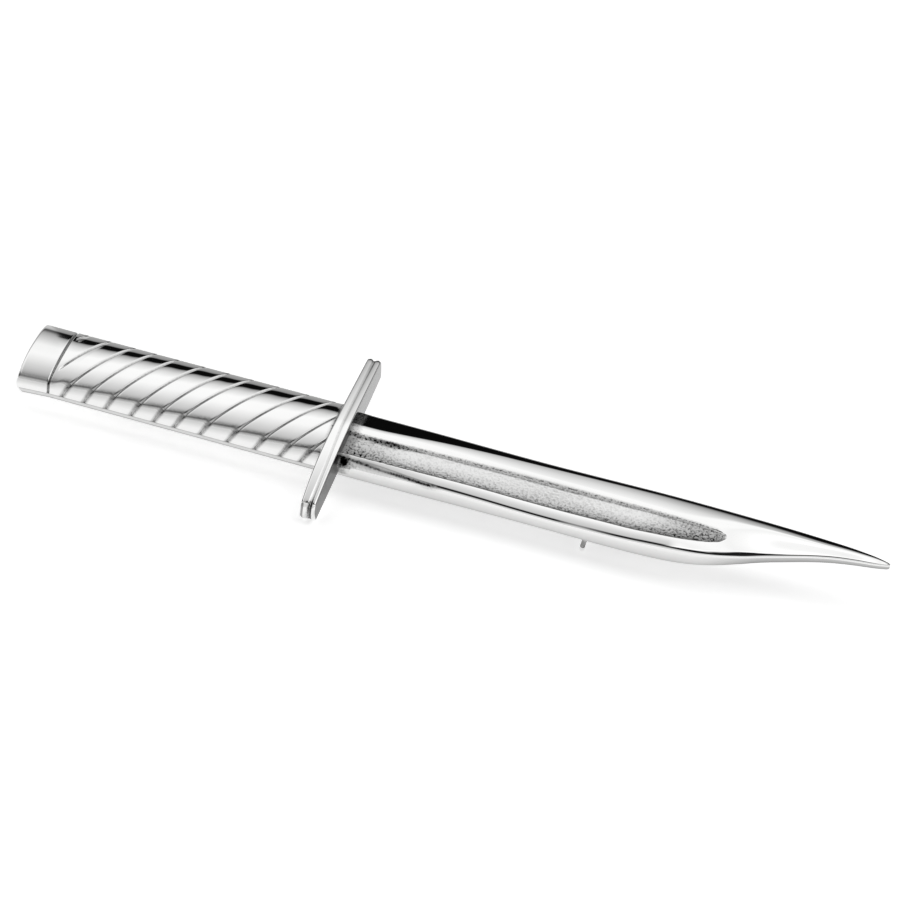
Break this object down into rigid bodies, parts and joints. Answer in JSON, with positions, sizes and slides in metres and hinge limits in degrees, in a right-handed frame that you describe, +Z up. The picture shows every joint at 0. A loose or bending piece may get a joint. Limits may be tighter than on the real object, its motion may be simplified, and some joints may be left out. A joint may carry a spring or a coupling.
{
  "type": "kilt pin",
  "caption": "Dagger-shaped kilt pin cast in polished silver, with a grooved grip, an arched guard, a matt fuller along the blade, and a hinged wire stem and catch behind.",
  "frame": {"origin": "middle of the footprint on the surface that the pin lies on", "axes": "+X along the dagger from the pommel to the tip, +Y across it towards the guard end that is off the surface, +Z up; it lies on its hinge, its catch and one guard end, turned about X by about 17 degrees"},
  "size_m": [0.08, 0.0192, 0.0077],
  "materials": {
    "polished_silver": "mirror polished casting, with a matt, granular fuller",
    "steel_wire": "drawn and polished wire"
  },
  "bodies": {
    "root": {"dagger": "polished_silver", "brooch_pin": "steel_wire"}
  },
  "joints": []
}
